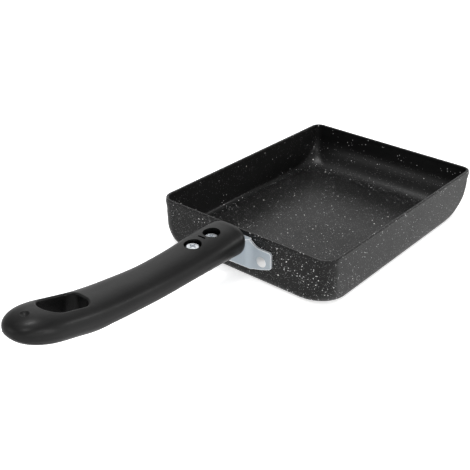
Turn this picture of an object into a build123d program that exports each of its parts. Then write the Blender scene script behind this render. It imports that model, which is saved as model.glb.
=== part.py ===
from build123d import *
import os
from math import copysign, cos, pi, radians, sin, sqrt, tan

# Tamagoyaki pan: a rectangular pressed pan with a riveted bracket and a screwed grip.
# Millimetres. +Z is up, +Y points away from the handle, and the origin is the centre
# of the flat base, on the surface that the pan stands on.

os.makedirs("parts", exist_ok=True)

# Pressed aluminium pan
pan_width = 130.0
pan_length = 176.4
pan_height = 32.2
wall = 1.8
base_thickness = 3.0
side_draft = 1.1
front_draft = 3.5
far_radius = 22.0
side_radius = 4.4
front_radius = 4.4
front_corner = 9.6
far_corner = 6.4
floor_corner = 21.0
corner_blend_height = 14.0
rim_rounding = 0.6
bend_steps = 14
bend_crowding = 1.25

# Moulded grip, measured from the rim and the pan's front
grip_length = 161.5
grip_width = 30.4
grip_thickness = 18.2
grip_gap = 6.8
grip_rise = 14.9
grip_middle_drop = 2.35
section_power = 2.4
section_points = 24

# The grip's shape before its ends are rounded: shares of its length, rise, thickness and width
grip_shape_shares = (
    (0.0, 0.054, 1.088, 0.85),
    (0.07, 0.07, 1.052, 0.875),
    (0.15, 0.072, 0.982, 0.885),
    (0.281, 0.03, 0.918, 0.84),
    (0.435, 0.03, 0.915, 0.82),
    (0.59, 0.164, 0.945, 0.86),
    (0.66, 0.248, 0.965, 0.885),
    (0.725, 0.348, 1.01, 0.91),
    (0.849, 0.683, 0.98, 0.965),
    (0.93, 0.88, 0.965, 1.0),
    (1.0, 1.01, 0.97, 1.0),
)
grip_front_rounding = 5.5
grip_tip_length = 25.0
tip_power = 2.2
grip_stations = 28

# Hanging hole, dimple and groove in the grip
hang_width = 15.9
hang_length = 25.8
hang_corner = 5.5
hang_from_tip = 19.5
hang_edge = 1.0
dimple_ball = 3.4
dimple_depth = 1.05
dimple_from_tip = 10.8
groove_width = 1.3
groove_depth = 1.0
groove_length = 5.6
groove_gap = 2.3
groove_side = 0.9

# Screws, spring washers and nuts, all of one size
first_screw = 18.5
screw_spacing = 16.1
front_seat = 4.6
rear_seat = 4.9
shank_radius = 2.0
head_radius = 4.0
head_height = 2.4
head_edge = 0.9
cross_width = 1.25
cross_length = 4.8
cross_depth = 1.2
recess_radius = 5.2
washer_radius = 3.6
washer_thickness = 0.9
washer_slit = 0.8
nut_flats = 7.0
nut_height = 3.0
nut_drop = 3.3
thread_end = 0.4

# Bracket folded from one sheet of steel: a channel with two wings
sheet = 1.4
channel_width = 16.0
fold_radius = 1.3
web_drop = 2.7
tongue_length = 43.0
tongue_depth = 5.6
flare_radius = 5.5
neck_width = 19.2
wing_span = 49.6
wing_top_width = 33.4
wing_top_drop = 4.9
wing_side = 11.0
wing_fall = 5.6
wing_corner = 1.9
cheek_drop = 21.3
cheek_length = 21.8

# Rivets through the wings and the pan's front wall
rivet_inset = 7.1
rivet_drop = 15.9
rivet_radius = 2.0
dome_radius = 3.5
dome_height = 1.5
inner_head_radius = 5.0
inner_head_height = 1.0

# Clearances
slip = 0.15
running = 0.05
seat = 0.1
overrun = 5.0


def arc_inset(height, radius):
    """How far a wall that ends in a floor radius stands back at this height."""
    if height >= radius:
        return 0
    return radius - sqrt(radius**2 - (radius - height) ** 2)


def pan_plan(height, thickness, floor):
    """Half width, front, back and the front and far corner radii of the pan's plan at one height."""
    below_rim = pan_height - height
    above_floor = height - floor
    half_width = pan_width / 2 - thickness - below_rim * tan(radians(side_draft))
    front = pan_length / 2 - thickness - below_rim * tan(radians(front_draft))
    back = pan_length / 2 - thickness
    half_width -= arc_inset(above_floor, side_radius - thickness / 2)
    front -= arc_inset(above_floor, front_radius - thickness / 2)
    back -= arc_inset(above_floor, far_radius - thickness)
    blend = max(1 - above_floor / corner_blend_height, 0) ** 2
    corners = [corner + (floor_corner - corner) * blend - thickness for corner in (front_corner, far_corner)]
    return half_width, front, back, *corners


def pan_section(height, thickness, floor, sense=Mode.ADD):
    """The pan's plan at one height as a face: a rectangle with rounder corners at the front."""
    half_width, front, back, near, far = pan_plan(height, thickness, floor)
    corners = ((1, -front, near), (1, back, far), (-1, back, far), (-1, -front, near))
    ends = []
    for side, y, radius in corners:
        beside = (side * (half_width - radius), y)
        along = (side * half_width, y - copysign(radius, y))
        ends.append((beside, along) if side * y < 0 else (along, beside))
    with BuildLine() as outline:
        for corner, (start, end) in enumerate(ends):
            before = ends[corner - 1][1]
            edge = Line(before, start)
            TangentArc(start, end, tangent=edge % 1)
    make_face(outline.edges(), mode=sense)


band_foot = pan_height - 2 * rim_rounding


def pan_levels(thickness, floor):
    """Heights of the plan sections, crowded near the floor where the corners turn."""
    bend = far_radius - thickness
    turns = [pi / 2 * (step / bend_steps) ** bend_crowding for step in range(bend_steps + 1)]
    levels = [floor + bend * (1 - cos(turn)) for turn in turns]
    return levels + [(levels[-1] + band_foot) / 2, band_foot]


# The outside of the front wall: X runs along the wall, Y up it and Z out of it
wall_plane = Plane(
    origin=(0, -pan_length / 2 + rivet_drop * tan(radians(front_draft)), pan_height - rivet_drop),
    x_dir=(1, 0, 0),
    z_dir=(0, -cos(radians(front_draft)), -sin(radians(front_draft))),
)
rivet_out = wing_span / 2 - rivet_inset
rivet_places = [(-rivet_out, 0), (rivet_out, 0)]

# Rounded band along the rim
with BuildPart() as rim_band:
    with BuildSketch(Plane.XY.offset(band_foot)):
        for thickness, sense in ((0, Mode.ADD), (wall, Mode.SUBTRACT)):
            pan_section(band_foot, thickness, 0, sense)
    extrude(amount=2 * rim_rounding)
    fillet(rim_band.faces().sort_by(Axis.Z)[-1].edges(), rim_rounding)

# Pressed pan with its two rivet holes
with BuildPart() as pan_body:
    for thickness, floor, sense in ((0, 0, Mode.ADD), (wall, base_thickness, Mode.SUBTRACT)):
        for level in pan_levels(thickness, floor):
            with BuildSketch(Plane.XY.offset(level)):
                pan_section(level, thickness, floor)
        loft(mode=sense)
    add(rim_band.part)
    with BuildSketch(wall_plane.offset(overrun)):
        with Locations(*rivet_places):
            Circle(rivet_radius + running)
    extrude(amount=-2 * overrun, mode=Mode.SUBTRACT)

# The bracket's places, from the rim and the pan's front
pan_front = -pan_length / 2
grip_front = pan_front - grip_gap
web_top = pan_height - web_drop
web_under = web_top - sheet
tongue_end = grip_front - tongue_length
flare_middle = (channel_width - sheet) / 2
wing_middle = -sheet / 2 - seat
bend_start = pan_front + web_drop * tan(radians(front_draft)) + wing_middle - flare_radius
screw_places = [grip_front - first_screw, grip_front - first_screw - screw_spacing]

# Wings and flared cheeks: the sheet's path in plan, raised parallel to the leaning wall
with BuildPart() as bracket_sides:
    along_wall = Plane(wall_plane.origin, x_dir=(1, 0, 0), z_dir=wall_plane.y_dir)
    with BuildSketch(along_wall.offset(-pan_height)):
        with BuildLine():
            for side in (-1, 1):
                FilletPolyline(
                    (side * flare_middle, wing_middle - flare_radius - sheet),
                    (side * flare_middle, wing_middle),
                    (side * wing_span / 2, wing_middle),
                    radius=flare_radius,
                )
        trace(line_width=sheet)
    extrude(amount=2 * pan_height)

# What the bracket's outline leaves as seen from the side
with BuildPart() as side_outline:
    cheek_slope = (cheek_drop - tongue_depth) / cheek_length
    with BuildSketch(Plane.YZ):
        with BuildLine():
            Polyline(
                (tongue_end, web_top),
                (pan_front + overrun, web_top),
                (pan_front + overrun, web_top - cheek_drop - overrun * cheek_slope),
                (pan_front - cheek_length, web_top - tongue_depth),
                (tongue_end, web_top - tongue_depth),
                close=True,
            )
        make_face()
    extrude(amount=wing_span, both=True)

# What the bracket's outline leaves as seen from the front
with BuildPart() as front_outline:
    wing_top = web_top - wing_top_drop
    wing_low = wing_top - wing_side
    with BuildSketch(Plane.XZ.offset(-pan_front - overrun)) as front_view:
        with BuildLine():
            shoulder = Line((0, web_top), (neck_width / 2, web_top))
            TangentArc(
                (wing_top_width / 2, wing_top),
                shoulder @ 1,
                tangent=(-1, 0),
            )
            Polyline(
                (wing_top_width / 2, wing_top),
                (wing_span / 2, wing_top),
                (wing_span / 2, wing_low),
            )
            TangentArc(
                (0, wing_low - wing_fall),
                (wing_span / 2, wing_low),
                tangent=(1, 0),
            )
            Line((0, wing_low - wing_fall), (0, web_top))
        make_face()
        mirror(about=Plane.YZ)
        tips = front_view.vertices().filter_by(lambda tip: abs(tip.X) > wing_top_width / 2 + wing_corner)
        fillet(tips, wing_corner)
    extrude(amount=2 * overrun - tongue_end + pan_front)

# Bracket: channel, neck and sides in one folded sheet
with BuildPart() as handle_bracket:
    with BuildSketch(Plane.XZ.offset(-bend_start)) as channel:
        with Locations((0, web_top)):
            Rectangle(channel_width, cheek_drop, align=(Align.CENTER, Align.MAX))
        fillet(channel.vertices().group_by(Axis.Y)[-1], fold_radius)
        with Locations((0, web_under)):
            Rectangle(
                channel_width - 2 * sheet,
                cheek_drop,
                align=(Align.CENTER, Align.MAX),
                mode=Mode.SUBTRACT,
            )
    extrude(amount=bend_start - tongue_end)
    with BuildSketch(Plane.XY.offset(web_under)):
        with Locations((0, pan_front - seat)):
            Rectangle(neck_width, pan_front - seat - bend_start, align=(Align.CENTER, Align.MAX))
        with Locations((-flare_middle - flare_radius, bend_start), (flare_middle + flare_radius, bend_start)):
            Circle(flare_radius - sheet / 2, mode=Mode.SUBTRACT)
    extrude(amount=sheet)
    add(bracket_sides.part)
    add(side_outline.part, mode=Mode.INTERSECT)
    add(front_outline.part, mode=Mode.INTERSECT)
    with BuildSketch(wall_plane.offset(overrun)):
        with Locations(*rivet_places):
            Circle(rivet_radius + running)
    extrude(amount=-2 * overrun, mode=Mode.SUBTRACT)
    with BuildSketch(Plane.XY.offset(web_top + overrun)):
        with Locations(*[(0, place) for place in screw_places]):
            Circle(shank_radius + slip)
    extrude(amount=-2 * overrun, mode=Mode.SUBTRACT)

# Rivets: a dome on the wing, a shank and a low head inside the pan
dome_foot = -seat - sheet - running
dome_top = dome_foot - dome_height
head_foot = wall + running
head_top = head_foot + inner_head_height


def cap_radius(foot_radius, height):
    """Radius of the ball whose cap has this foot radius and height."""
    return (foot_radius**2 + height**2) / (2 * height)


for name, (place, height) in zip(("rivet_left", "rivet_right"), rivet_places):
    centre = wall_plane.from_local_coords((place, height, 0))
    with BuildPart() as rivet:
        with BuildSketch(Plane(centre, x_dir=(1, 0, 0), z_dir=wall_plane.y_dir)):
            with BuildLine():
                Polyline(
                    (dome_radius, dome_foot),
                    (rivet_radius, dome_foot),
                    (rivet_radius, head_foot),
                    (inner_head_radius, head_foot),
                )
                RadiusArc(
                    (inner_head_radius, head_foot),
                    (0, head_top),
                    -cap_radius(inner_head_radius, inner_head_height),
                )
                Line((0, head_top), (0, dome_top))
                RadiusArc(
                    (0, dome_top),
                    (dome_radius, dome_foot),
                    -cap_radius(dome_radius, dome_height),
                )
            make_face()
        revolve(axis=Axis(centre, wall_plane.z_dir))
    rivet.part.label = name
    export_step(rivet.part, f"parts/{name}.step")


def oval(half_width, half_height):
    """Points of a flattened oval, from the formula of a superellipse."""
    points = []
    for step in range(section_points):
        turn = 2 * pi * step / section_points
        across = copysign(abs(cos(turn)) ** (2 / section_power), cos(turn))
        up = copysign(abs(sin(turn)) ** (2 / section_power), sin(turn))
        points.append((half_width * across, half_height * up))
    return points


def slope(row, column):
    """Slope of one column of the grip's shape at one of its rows."""
    before = grip_shape_shares[max(row - 1, 0)]
    after = grip_shape_shares[min(row + 1, len(grip_shape_shares) - 1)]
    return (after[column] - before[column]) / (after[0] - before[0])


def grip_share(along, column):
    """One column of the grip's shape, run smoothly from row to row."""
    row = max(index for index, shares in enumerate(grip_shape_shares[:-1]) if shares[0] <= along)
    low, high = grip_shape_shares[row : row + 2]
    span = high[0] - low[0]
    part = (along - low[0]) / span
    rise = high[column] - low[column]
    first = slope(row, column) * span - rise
    last = rise - slope(row + 1, column) * span
    return low[column] + part * rise + part * (1 - part) * ((1 - part) * first + part * last)


def grip_centre(along):
    """Height of the grip's middle line."""
    return pan_height - grip_middle_drop + grip_rise * grip_share(along, 1)


def grip_size(along):
    """Half width and half thickness of the grip, with its front and its tip rounded."""
    half_width = grip_width / 2 * grip_share(along, 3)
    half_thickness = grip_thickness / 2 * grip_share(along, 2)
    inset = arc_inset(along * grip_length, grip_front_rounding)
    from_tip = (1 - along) * grip_length
    reach = max(1 - from_tip / grip_tip_length, 0)
    narrowing = (1 - reach**tip_power) ** (1 / tip_power)
    return narrowing * (half_width - inset), narrowing * (half_thickness - inset)


# The grip's solid shape, lofted from front to tip
grip_sections = []
for station in range(grip_stations):
    along = (1 - cos(pi * station / grip_stations)) / 2
    place = Plane.XZ.offset(-grip_front + along * grip_length)
    centre = grip_centre(along)
    with BuildSketch(place) as section:
        with BuildLine():
            Spline([(x, centre + z) for x, z in oval(*grip_size(along))], periodic=True)
        make_face()
    grip_sections.append(section.sketch)
grip_tip = Vertex(0, grip_front - grip_length, grip_centre(1))

# Places of the grip's features along Y
grip_end = grip_front - grip_length
hang_low = grip_end + hang_from_tip
hang_high = hang_low + hang_length
dimple_place = grip_end + dimple_from_tip
screw_seats = [web_top + front_seat, web_top + rear_seat]
nut_top = web_top - nut_drop


def grip_top(place):
    """Height of the grip's top line at a place along Y."""
    along = (grip_front - place) / grip_length
    return grip_centre(along) + grip_size(along)[1]


# Everything that is hollow in the grip's front end and at the dimple
with BuildPart() as grip_hollows:
    # Recesses for the screw heads, with the screws' holes and the nuts' pockets below them
    for place, seat_height in zip(screw_places, screw_seats):
        with BuildSketch(Plane.XY.offset(seat_height)):
            with Locations((0, place)):
                Circle(recess_radius)
        extrude(amount=grip_thickness)
    with BuildSketch(Plane.XY):
        with Locations(*[(0, place) for place in screw_places]):
            Circle(shank_radius + slip)
    extrude(amount=pan_height + grip_thickness)
    with BuildSketch(Plane.XY.offset(nut_top)):
        with Locations(*[(0, place) for place in screw_places]):
            RegularPolygon(nut_flats / 2 + slip, 6, major_radius=False)
    extrude(amount=-grip_thickness)

    # Slot for the bracket's web and for each of its sides
    slot_end = tongue_end - slip
    slot_top = web_top + slip
    slot_mouth = grip_front + overrun
    with BuildSketch(Plane.XY.offset(web_under - slip)):
        with Locations((0, slot_end)):
            Rectangle(channel_width + 2 * slip, slot_mouth - slot_end, align=(Align.CENTER, Align.MIN))
    extrude(amount=sheet + 2 * slip)
    with BuildSketch(Plane.XY.offset(slot_top)):
        with Locations((-flare_middle, slot_end), (flare_middle, slot_end)):
            Rectangle(sheet + 2 * slip, slot_mouth - slot_end, align=(Align.CENTER, Align.MIN))
    extrude(amount=-tongue_depth - 2 * slip)
    cheek_end = pan_front - cheek_length - slip
    with BuildSketch(Plane.XY.offset(slot_top)):
        with Locations((-flare_middle, cheek_end), (flare_middle, cheek_end)):
            Rectangle(sheet + 2 * slip, slot_mouth - cheek_end, align=(Align.CENTER, Align.MIN))
    extrude(amount=-grip_thickness)

    # The short groove across the bridge between the recesses, and the dimple near the tip
    groove_place = screw_places[0] - recess_radius - groove_gap
    with BuildSketch(Plane.XY.offset(grip_top(groove_place) - groove_depth)):
        with Locations((-groove_side, groove_place)):
            SlotOverall(groove_length, groove_width)
    extrude(amount=grip_thickness)
    with Locations((0, dimple_place, grip_top(dimple_place) + dimple_ball - dimple_depth)):
        Sphere(dimple_ball)

# Grip: the lofted shape, its hanging hole with rounded edges, then the hollows
with BuildPart() as handle_grip:
    loft(sections=[*grip_sections, grip_tip])
    with BuildSketch(Plane.XY) as hang_outline:
        with BuildLine():
            arc_place = hang_low + hang_width / 2
            Polyline(
                (-hang_width / 2, arc_place),
                (-hang_width / 2, hang_high),
                (hang_width / 2, hang_high),
                (hang_width / 2, arc_place),
            )
            ThreePointArc((hang_width / 2, arc_place), (0, hang_low), (-hang_width / 2, arc_place))
        make_face()
        fillet(hang_outline.vertices().group_by(Axis.Y)[-1], hang_corner)
    extrude(amount=2 * (pan_height + grip_rise), mode=Mode.SUBTRACT)
    mouths = handle_grip.edges().filter_by_position(Axis.Y, hang_low - slip, hang_high + slip)
    mouths = mouths.filter_by(lambda edge: edge.geom_type == GeomType.BSPLINE)
    fillet(mouths, hang_edge)
    add(grip_hollows.part, mode=Mode.SUBTRACT)

# Pan-head screws with a cross, spring washers with a slit and hexagon nuts
fasteners = []
for end, place, seat_height in zip(("front", "rear"), screw_places, screw_seats):
    head_foot_height = seat_height + running + washer_thickness + running
    screw_end = nut_top - running - nut_height - thread_end
    with BuildPart() as screw:
        with BuildSketch(Plane.XY.offset(head_foot_height)):
            with Locations((0, place)):
                Circle(head_radius)
        extrude(amount=head_height)
        fillet(screw.faces().sort_by(Axis.Z)[-1].edges(), head_edge)
        with BuildSketch(Plane.XY.offset(head_foot_height + head_height - cross_depth)):
            with Locations((0, place)):
                Rectangle(cross_width, cross_length)
                Rectangle(cross_length, cross_width)
        extrude(amount=cross_depth, mode=Mode.SUBTRACT)
        with BuildSketch(Plane.XY.offset(head_foot_height)):
            with Locations((0, place)):
                Circle(shank_radius)
        extrude(amount=screw_end - head_foot_height)
    with BuildPart() as washer:
        with BuildSketch(Plane.XY.offset(seat_height + running)):
            with Locations((0, place)):
                Circle(washer_radius)
                Circle(shank_radius + slip, mode=Mode.SUBTRACT)
                Rectangle(washer_radius, washer_slit, align=(Align.MIN, Align.CENTER), mode=Mode.SUBTRACT)
        extrude(amount=washer_thickness)
    with BuildPart() as nut:
        with BuildSketch(Plane.XY.offset(nut_top - running)):
            with Locations((0, place)):
                RegularPolygon(nut_flats / 2, 6, major_radius=False)
                Circle(shank_radius + running, mode=Mode.SUBTRACT)
        extrude(amount=-nut_height)
    fasteners += [(f"screw_{end}", screw), (f"washer_{end}", washer), (f"nut_{end}", nut)]

pieces = [("pan_body", pan_body), ("handle_bracket", handle_bracket), ("handle_grip", handle_grip)]
for name, piece in pieces + fasteners:
    piece.part.label = name
    export_step(piece.part, f"parts/{name}.step")
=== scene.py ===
from math import cos, pi, radians, sin

import bpy
from mathutils import Matrix, Vector
from mathutils.bvhtree import BVHTree


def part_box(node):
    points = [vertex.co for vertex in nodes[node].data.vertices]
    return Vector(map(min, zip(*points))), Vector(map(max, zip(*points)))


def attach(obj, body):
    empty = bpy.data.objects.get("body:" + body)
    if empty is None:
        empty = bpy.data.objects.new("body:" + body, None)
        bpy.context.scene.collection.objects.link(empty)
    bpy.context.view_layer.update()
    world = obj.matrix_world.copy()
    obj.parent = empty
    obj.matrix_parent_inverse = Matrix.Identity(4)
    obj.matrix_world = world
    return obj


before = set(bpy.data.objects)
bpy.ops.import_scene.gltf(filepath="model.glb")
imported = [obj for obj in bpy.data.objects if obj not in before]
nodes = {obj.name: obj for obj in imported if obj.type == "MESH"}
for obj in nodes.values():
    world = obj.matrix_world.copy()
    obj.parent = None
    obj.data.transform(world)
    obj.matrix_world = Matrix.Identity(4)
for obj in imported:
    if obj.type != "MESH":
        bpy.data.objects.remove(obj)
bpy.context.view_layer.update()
scene = bpy.context.scene
MM = 0.001
UP = (0, 0, 1)


# Node helpers: each adds nodes to a tree, takes sockets or plain values, and returns an output

def feed(tree, socket, value):
    """A link to the socket, or a plain value set on it."""
    if isinstance(value, bpy.types.NodeSocket):
        tree.links.new(value, socket)
    else:
        socket.default_value = value


def calculated(tree, operation, *values):
    made = tree.nodes.new("ShaderNodeMath")
    made.operation = operation
    for socket, value in zip(made.inputs, values):
        feed(tree, socket, value)
    return made.outputs[0]


def plus(tree, first, second):
    return calculated(tree, "ADD", first, second)


def times(tree, first, second):
    return calculated(tree, "MULTIPLY", first, second)


def greater(tree, first, second):
    return calculated(tree, "MAXIMUM", first, second)


def vectors(tree, operation, first, second, result="Value"):
    made = tree.nodes.new("ShaderNodeVectorMath")
    made.operation = operation
    feed(tree, made.inputs[0], first)
    feed(tree, made.inputs[1], second)
    return made.outputs[result]


def surface(tree, what):
    """The Position or the Normal of the point on the surface, in the world."""
    return tree.nodes.new("ShaderNodeNewGeometry").outputs[what]


def spread(tree, value, low, high, to_low=0.0, to_high=1.0, smooth=True):
    """The value's range low to high, brought to another range, with soft ends or evenly."""
    made = tree.nodes.new("ShaderNodeMapRange")
    made.interpolation_type = "SMOOTHSTEP" if smooth else "LINEAR"
    for socket, number in zip(made.inputs, (value, low, high, to_low, to_high)):
        feed(tree, socket, number)
    return made.outputs[0]


def blended(tree, share, first, second):
    """From the first colour to the second, by a share."""
    made = tree.nodes.new("ShaderNodeMix")
    made.data_type = "RGBA"
    feed(tree, made.inputs["Factor"], share)
    feed(tree, made.inputs["A"], first)
    feed(tree, made.inputs["B"], second)
    return made.outputs["Result"]


def painted(tree, colour, *layers):
    """The colour with layers over it: each has a mask, its strength and its own colour."""
    for mask, strength, paint in layers:
        colour = blended(tree, times(tree, mask, strength), colour, paint)
    return colour


def grey(level, tint=(1, 1, 1)):
    """A colour of that brightness, as red, green, blue and alpha."""
    return (level * tint[0], level * tint[1], level * tint[2], 1.0)


def place(tree, stretch=(1, 1, 1)):
    """The point on the surface, in metres, with each axis multiplied."""
    made = tree.nodes.new("ShaderNodeTexCoord")
    mapped = tree.nodes.new("ShaderNodeMapping")
    mapped.inputs["Scale"].default_value = stretch
    tree.links.new(made.outputs["Object"], mapped.inputs["Vector"])
    return mapped.outputs["Vector"]


def noise(tree, where, size, detail=2.0, rough=0.55):
    """Cloudy noise from 0 to 1 with features of that size, in metres."""
    made = tree.nodes.new("ShaderNodeTexNoise")
    feed(tree, made.inputs["Vector"], where)
    made.inputs["Scale"].default_value = 1 / size
    made.inputs["Detail"].default_value = detail
    made.inputs["Roughness"].default_value = rough
    return made.outputs["Fac"]


def flecks(tree, where, spacing, smallest, largest, share):
    """Round flecks: 1 inside a fleck and 0 outside.

    The spacing and the smallest and largest radius are in metres, and the share says how many
    of the places hold a fleck.
    """
    core = 0.55  # of the radius: the fleck is whole up to here, and its rim is soft
    made = tree.nodes.new("ShaderNodeTexVoronoi")
    feed(tree, made.inputs["Vector"], where)
    made.inputs["Scale"].default_value = 1 / spacing
    chance = tree.nodes.new("ShaderNodeSeparateColor")
    tree.links.new(made.outputs["Color"], chance.inputs[0])
    sizes = (smallest / spacing, largest / spacing)
    radius = spread(tree, chance.outputs[0], 0.0, 1.0, *sizes, smooth=False)
    inside = spread(tree, made.outputs["Distance"], times(tree, radius, core), radius, 1.0, 0.0)
    chosen = calculated(tree, "LESS_THAN", chance.outputs[1], share)
    return times(tree, inside, chosen)


def edges(tree, radius, low=0.02, high=0.3):
    """1 along edges and 0 on open faces: how far a rounded normal turns from the true one."""
    rounded = tree.nodes.new("ShaderNodeBevel")
    rounded.samples = 6
    rounded.inputs["Radius"].default_value = radius
    agreement = vectors(tree, "DOT_PRODUCT", rounded.outputs[0], surface(tree, "Normal"))
    return spread(tree, calculated(tree, "SUBTRACT", 1.0, agreement), low, high)


def openness(tree, reach):
    """1 on open faces, falling towards 0 deep in recesses and holes."""
    made = tree.nodes.new("ShaderNodeAmbientOcclusion")
    made.samples = 6
    made.inputs["Distance"].default_value = reach
    return made.outputs["AO"]


def facing(tree):
    """How far a wall of the pan faces outwards.

    It is below 0 inside the pan, 0 on its floor and above 0 outside.
    """
    outwards = vectors(tree, "MULTIPLY", surface(tree, "Position"), (1, 1, 0), "Vector")
    return vectors(tree, "DOT_PRODUCT", outwards, surface(tree, "Normal"))


def nearness(tree, centre, near, far):
    """1 within one distance of a point, falling to 0 at another."""
    distance = vectors(tree, "DISTANCE", surface(tree, "Position"), centre)
    return spread(tree, distance, near, far, 1.0, 0.0)


def toward(tree, direction):
    """How nearly a direction of the surround agrees with this one: 1 where they are the same."""
    around = tree.nodes.new("ShaderNodeTexCoord").outputs["Generated"]
    return vectors(tree, "DOT_PRODUCT", around, direction)


def bumps(tree, height, depth, strength):
    made = tree.nodes.new("ShaderNodeBump")
    made.inputs["Strength"].default_value = strength
    made.inputs["Distance"].default_value = depth
    feed(tree, made.inputs["Height"], height)
    return made.outputs[0]


# Materials

def new_material(name, metallic=0.0, specular=0.5):
    """A new material: itself, its node tree and its shader."""
    made = bpy.data.materials.new(name)
    made.use_nodes = True
    shader = made.node_tree.nodes["Principled BSDF"]
    shader.inputs["Metallic"].default_value = metallic
    shader.inputs["Specular IOR Level"].default_value = specular
    return made, made.node_tree, shader


def coating():
    """Non-stick coating: near-black, with pale flecks of three sizes and a fine orange peel.

    The inner walls have fewer dust-like and fine flecks, as painted shade, and the corner
    nearest the right wing of the bracket has the most fine ones.
    """
    made, tree, shader = new_material("coated_aluminium_look", specular=0.25)
    where = place(tree)
    patches = noise(tree, where, size=26 * MM)
    grain = noise(tree, where, size=0.45 * MM)
    peel = noise(tree, where, size=1.4 * MM)
    clouds = noise(tree, where, size=14 * MM)
    clusters = spread(tree, clouds, 0.38, 0.60, to_low=0.06, to_high=0.32)
    # Painted shade: the inner walls keep only 0.3 of the dust-like and fine flecks, so they come
    # out darker
    unshaded_fleck_share = spread(tree, facing(tree), -0.045, -0.01, to_low=0.3, to_high=1.0)
    dust_share = times(tree, unshaded_fleck_share, 0.9)
    corner = nearness(tree, (0.040, -0.088, 0.006), near=0.018, far=0.060)
    corner_share = times(tree, corner, 0.64)
    fine_share = greater(tree, times(tree, clusters, unshaded_fleck_share), corner_share)
    dust, fine, large = (
        flecks(tree, where, spacing, smallest, largest, share)
        for spacing, smallest, largest, share in (
            (0.85 * MM, 0.13 * MM, 0.28 * MM, dust_share),
            (1.6 * MM, 0.19 * MM, 0.45 * MM, fine_share),
            (8 * MM, 0.40 * MM, 0.66 * MM, 0.75),
        )
    )
    feed(tree, shader.inputs["Base Color"], painted(
        tree,
        blended(tree, patches, grey(0.004), grey(0.007)),
        (spread(tree, grain, 0.45, 0.7), 0.5, grey(0.018)),
        (dust, 0.6, grey(0.34)),
        (fine, 0.95, grey(0.72)),
        (large, 0.97, grey(0.82, (1, 0.98, 0.95))),
        (edges(tree, 0.5 * MM), 0.35, grey(0.28)),
    ))
    sheen = spread(tree, patches, 0.3, 0.7, to_low=0.25, to_high=0.31)
    feed(tree, shader.inputs["Roughness"], plus(tree, sheen, times(tree, grain, 0.10)))
    height = plus(tree, times(tree, grain, 0.6), peel)
    height = plus(tree, height, times(tree, greater(tree, fine, large), 0.5))
    feed(tree, shader.inputs["Normal"], bumps(tree, height, depth=0.03 * MM, strength=0.5))
    return made


def plastic():
    """Moulded plastic of the grip: satin black, with a fine grain and faint rubbed streaks.

    Recesses and the hanging hole are darker and duller than the outside: painted shade.
    """
    made, tree, shader = new_material("grip_plastic_look")
    where = place(tree)
    lengthwise = place(tree, stretch=(1, 0.12, 1))
    patches = noise(tree, where, size=18 * MM)
    streaks = noise(tree, lengthwise, size=1.6 * MM, detail=3.0)
    grain = noise(tree, where, size=0.22 * MM)
    ripple = noise(tree, where, size=2.5 * MM)
    outside = spread(tree, openness(tree, reach=20 * MM), 0.42, 0.72)
    colour = painted(
        tree,
        blended(tree, patches, grey(0.007), grey(0.009)),
        (spread(tree, streaks, 0.55, 0.75), 0.35, grey(0.014)),
        (edges(tree, 0.6 * MM), 0.3, grey(0.06)),
    )
    # Painted shade: the base colour falls to near-black deep in recesses and the hanging hole
    feed(tree, shader.inputs["Base Color"], blended(tree, outside, grey(0.003), colour))
    # The same painted shade dulls the gloss there
    gloss = spread(tree, outside, 0.0, 1.0, to_low=0.01, to_high=0.23)
    feed(tree, shader.inputs["Specular IOR Level"], gloss)
    sheen = spread(tree, streaks, 0.3, 0.7, to_low=0.29, to_high=0.34)
    feed(tree, shader.inputs["Roughness"], plus(tree, sheen, times(tree, patches, 0.06)))
    height = plus(tree, grain, times(tree, ripple, 0.8))
    feed(tree, shader.inputs["Normal"], bumps(tree, height, depth=0.02 * MM, strength=0.5))
    return made


def metal(
    name, level, tint, rough, grain_size, edge_wear_and_highlight, depth,
    stretch=(1, 1, 1), edge_wear_and_highlight_width=0.45 * MM, metallic=1.0,
):
    """Metal: a tint, a fine grain that can run along one axis, cloudy plating, and edges
    brightened by wear and a painted highlight.

    The edge_wear_and_highlight is how strongly the edges are brightened, partly as wear and
    partly as a painted highlight, and the depth is that of the grain.
    """
    stained = 0.88     # the darkest plating, as a share of the level
    specked = 0.6      # the specks, as a share of the level
    unevenness = 0.07  # of the roughness, either way
    made, tree, shader = new_material(name, metallic)
    where = place(tree)
    drawn = noise(tree, place(tree, stretch), grain_size, detail=4.0, rough=0.65)
    clouds = noise(tree, where, size=5 * MM, detail=3.0)
    specks = noise(tree, where, size=0.5 * MM)
    # Edges turn near-white and less metallic: partly wear, partly a painted highlight along them
    worn_and_highlit = times(tree, edges(tree, edge_wear_and_highlight_width, low=0.01, high=0.12), edge_wear_and_highlight)
    colour = painted(
        tree,
        blended(tree, clouds, grey(level * stained, tint), grey(level, tint)),
        (spread(tree, specks, 0.62, 0.8), 0.3, grey(level * specked, tint)),
    )
    feed(tree, shader.inputs["Base Color"], blended(tree, worn_and_highlit, colour, grey(0.95)))
    whole = calculated(tree, "SUBTRACT", 1.0, times(tree, worn_and_highlit, 0.8))
    feed(tree, shader.inputs["Metallic"], times(tree, whole, metallic))
    sheen = spread(tree, drawn, 0.25, 0.75, rough - unevenness, rough + unevenness)
    cloudy_sheen = spread(tree, clouds, 0.3, 0.7, to_low=-0.04, to_high=0.05)
    feed(tree, shader.inputs["Roughness"], plus(tree, sheen, cloudy_sheen))
    height = plus(tree, drawn, times(tree, specks, 0.4))
    feed(tree, shader.inputs["Normal"], bumps(tree, height, depth, strength=0.6))
    return made


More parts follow.
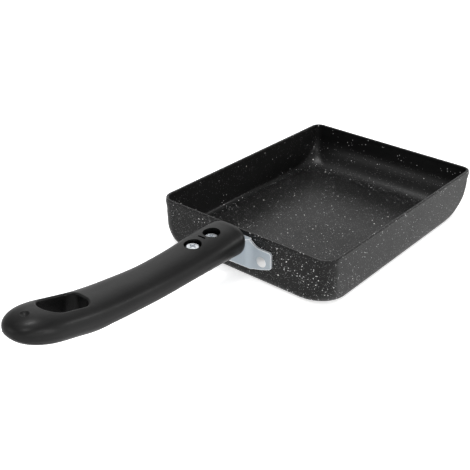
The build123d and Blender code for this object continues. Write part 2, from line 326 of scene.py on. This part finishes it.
looks = {
    "coated_aluminium": coating(),
    "grip_plastic": plastic(),
    "plated_steel": metal(
        "plated_steel_look", level=0.49, tint=(0.87, 0.98, 1.07), rough=0.60,
        grain_size=0.8 * MM, edge_wear_and_highlight=1.0, depth=0.01 * MM,
        stretch=(1, 8, 1), edge_wear_and_highlight_width=0.8 * MM, metallic=0.35,
    ),
    "rivet_metal": metal(
        "rivet_metal_look", level=0.82, tint=(1, 1, 1), rough=0.42,
        grain_size=0.5 * MM, edge_wear_and_highlight=0.3, depth=0.02 * MM, metallic=0.6,
    ),
    "screw_steel": metal(
        "screw_steel_look", level=0.90, tint=(0.96, 1.0, 1.04), rough=0.42,
        grain_size=0.4 * MM, edge_wear_and_highlight=0.6, depth=0.02 * MM,
    ),
}
pieces_of_look = {
    "coated_aluminium": ("pan_body",),
    "plated_steel": ("handle_bracket",),
    "rivet_metal": ("rivet_left", "rivet_right"),
    "grip_plastic": ("handle_grip",),
    "screw_steel": (
        "screw_front", "screw_rear", "washer_front", "washer_rear", "nut_front", "nut_rear",
    ),
}
for look, pieces in pieces_of_look.items():
    for piece in pieces:
        for slot in nodes[piece].material_slots:
            slot.material = looks[look]


# The mould's parting line: a fine bead along each side of the grip, where its two halves met
seam_stations = 150
seam_share = 0.24           # the line's height, as a share of the grip's thickness there
seam_front_gap = 3 * MM     # from the grip's front end to the line
seam_tip_gap = 0.5 * MM     # from the line to the grip's tip
probe_offset = 3.2 * MM     # beside the grip's middle, where its thickness is measured
probe_reach = 0.05          # outside the grip, where the rays start
bead_points = 6             # across the bead, from one foot over its crown to the other
bead_radius = 0.2 * MM
bead_spread = 2.2           # half of the bead's width, in radii
bead_crown = 0.8            # the arc's height, in radii
bead_sink = 0.2             # how far the arc's feet lie under the surface, in radii
taper_start = 0.15          # the bead's size at either end of the line
taper_stations = 5          # over which the bead grows to its full size


def bead(name, path, outward):
    """A thin half-sunk bead along a path of points, each with the surface's direction out."""
    verts, faces = [], []
    count = len(path)
    for index, (point, out) in enumerate(zip(path, outward)):
        ahead = path[min(index + 1, count - 1)] - path[max(index - 1, 0)]
        across = ahead.normalized().cross(out).normalized()
        from_end = min(index, count - 1 - index)
        taper = min(1.0, taper_start + from_end / taper_stations)
        for number in range(bead_points):
            angle = pi * number / (bead_points - 1)
            rise = bead_radius * (sin(angle) * taper * bead_crown - bead_sink)
            aside = bead_radius * cos(angle) * taper * bead_spread
            verts.append(point + across * aside + out * rise)
    for index in range(count - 1):
        for number in range(bead_points - 1):
            first = index * bead_points + number
            faces.append((first, first + 1, first + bead_points + 1, first + bead_points))
    mesh = bpy.data.meshes.new(name)
    mesh.from_pydata([tuple(v) for v in verts], [], faces)
    mesh.validate()
    for face in mesh.polygons:
        face.use_smooth = True
    made = bpy.data.objects.new(name, mesh)
    scene.collection.objects.link(made)
    return made


grip_mesh = nodes["handle_grip"].data
grip_tree = BVHTree.FromPolygons(
    [vertex.co for vertex in grip_mesh.vertices],
    [tuple(face.vertices) for face in grip_mesh.polygons],
)
grip_low, grip_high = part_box("handle_grip")
seam_front = grip_high.y - seam_front_gap
seam_end = grip_low.y + seam_tip_gap


def seam_side(direction):
    """Points of the parting line on one side of the grip, and the surface's direction out."""
    path, outward = [], []
    for station in range(seam_stations):
        # The stations come closer together towards the tip, where the grip curves most
        share = sin(pi / 2 * station / (seam_stations - 1))
        y = seam_front + (seam_end - seam_front) * share
        x = direction * probe_offset
        above = Vector((x, y, grip_high.z + probe_reach))
        below = Vector((x, y, -probe_reach))
        top = grip_tree.ray_cast(above, Vector((0, 0, -1)))[0]
        under = grip_tree.ray_cast(below, Vector(UP))[0]
        if top is None or under is None:
            continue
        z = under.z + (top.z - under.z) * seam_share
        beside = Vector((direction * probe_reach, y, z))
        hit, normal, _, _ = grip_tree.ray_cast(beside, Vector((-direction, 0, 0)))
        if hit is None:
            continue
        path.append(hit)
        outward.append(normal if normal.x * direction > 0 else -normal)
    return path, outward


for side_name, direction in (("left", -1), ("right", 1)):
    path, outward = seam_side(direction)
    seam = bead(f"grip_parting_line_{side_name}", path, outward)
    seam.data.materials.append(looks["grip_plastic"])
    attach(seam, "root")


# Camera at the photograph's place, with its focal length in pixels and its angles
photo_side = 470
focal_pixels = 872.1
camera_place = (0.2843, -0.4474, 0.2752)
turn, tilt, roll = radians(38.65), radians(28.36), radians(1.35)
forward = Vector((-sin(turn) * cos(tilt), cos(turn) * cos(tilt), -sin(tilt)))
level_right = Vector((cos(turn), sin(turn), 0))
level_up = level_right.cross(forward)
right = level_right * cos(roll) + level_up * sin(roll)
up = level_up * cos(roll) - level_right * sin(roll)
camera_data = bpy.data.cameras.new("photo_camera")
camera_data.sensor_width = 36
camera_data.lens = camera_data.sensor_width * focal_pixels / photo_side
camera_data.clip_start = 0.01
camera_data.clip_end = 50
camera = bpy.data.objects.new("photo_camera", camera_data)
scene.collection.objects.link(camera)
camera.matrix_world = Matrix.Translation(camera_place) @ Matrix((
    (right.x, up.x, -forward.x, 0),
    (right.y, up.y, -forward.y, 0),
    (right.z, up.z, -forward.z, 0),
    (0, 0, 0, 1),
))
scene.camera = camera


# Plain pale floor, with some light of its own to weaken the shadows
floor_radius = 12
floor_segments = 96
floor_drop = 0.05 * MM  # under the pan, so that their faces don't share a plane


def pale_floor():
    made, tree, shader = new_material("floor_look", specular=0.25)
    clouds = noise(tree, place(tree), size=0.4, detail=3.0)
    feed(tree, shader.inputs["Base Color"], blended(tree, clouds, grey(0.93), grey(0.97)))
    shader.inputs["Roughness"].default_value = 0.8
    shader.inputs["Emission Color"].default_value = grey(1.0)
    shader.inputs["Emission Strength"].default_value = 0.64
    return made


ring = []
for segment in range(floor_segments):
    angle = 2 * pi * segment / floor_segments
    ring.append((floor_radius * cos(angle), floor_radius * sin(angle), 0))
floor_mesh = bpy.data.meshes.new("floor")
floor_mesh.from_pydata(ring, [], [tuple(range(floor_segments))])
floor_mesh.materials.append(pale_floor())
floor = bpy.data.objects.new("floor", floor_mesh)
scene.collection.objects.link(floor)
floor.location.z = -floor_drop
floor.visible_glossy = False


# Soft studio light. The surround's brightness by height is what the walls and the grip reflect:
# each pair is a height, from -1 straight down to 1 straight up, and the brightness there
surround_levels = (
    (-1, 0.84), (-0.04, 0.84), (0.0, 0.88), (0.05, 0.75),
    (0.14, 0.46), (0.5, 0.46), (0.8, 0.2), (0.97, 0.8),
)
bright_side = (0.62, 0.78, 0)  # the surround is a little brighter towards the back right
scene.view_settings.view_transform = "Standard"
world = bpy.data.worlds.new("studio")
world.use_nodes = True
sky = world.node_tree
background = sky.nodes["Background"]
steps = sky.nodes.new("ShaderNodeValToRGB")
steps.color_ramp.interpolation = "EASE"
feed(sky, steps.inputs[0], spread(sky, toward(sky, UP), -1, 1, smooth=False))
ramp = steps.color_ramp.elements
for number, (level, brightness) in enumerate(surround_levels):
    position = (level + 1) / 2
    stop = ramp[number] if number < 2 else ramp.new(position)  # a new ramp has two stops
    stop.position = position
    stop.color = grey(brightness)
feed(sky, background.inputs["Color"], steps.outputs["Color"])
side_share = toward(sky, bright_side)
strength = spread(sky, side_share, -1, 1, to_low=0.84, to_high=1.16, smooth=False)
feed(sky, background.inputs["Strength"], strength)
scene.world = world

# Each softbox: its name, place, width, height, power in watts and whether it shows in reflections
softboxes = (
    ("softbox_top", (-0.2, 0.1, 1.7), 2.4, 2.4, 15, False),
    ("softbox_back", (-0.74, 1.02, 0.88), 1.5, 0.9, 2.9, True),
    ("softbox_back_left", (-0.33, 0.13, 1.46), 0.35, 0.35, 5.0, True),
    ("softbox_front_left", (-0.62, -1.27, 0.51), 0.8, 0.6, 1.8, True),
    ("softbox_front_right", (0.45, -0.8, 1.33), 0.4, 0.4, 3.0, True),
    ("softbox_right", (1.46, 0.07, 0.25), 0.25, 0.15, 2.6, True),
    ("softbox_low_right", (1.16, -0.77, 0.20), 0.15, 0.15, 1.3, True),
    ("softbox_side", (1.18, -0.18, 0.59), 0.35, 0.2, 2.0, True),
    ("softbox_back_right", (0.94, 1.12, 0.34), 0.4, 0.15, 2.0, True),
)
light_target = Vector((0, -0.05, 0.02))
for name, light_place, width, height, power, glossy in softboxes:
    light = bpy.data.lights.new(name, "AREA")
    light.shape = "RECTANGLE"
    light.size = width
    light.size_y = height
    light.energy = power
    lamp = bpy.data.objects.new(name, light)
    lamp.visible_glossy = glossy
    scene.collection.objects.link(lamp)
    lamp.location = light_place
    aim = light_target - Vector(light_place)
    lamp.rotation_euler = aim.to_track_quat("-Z", "Y").to_euler()
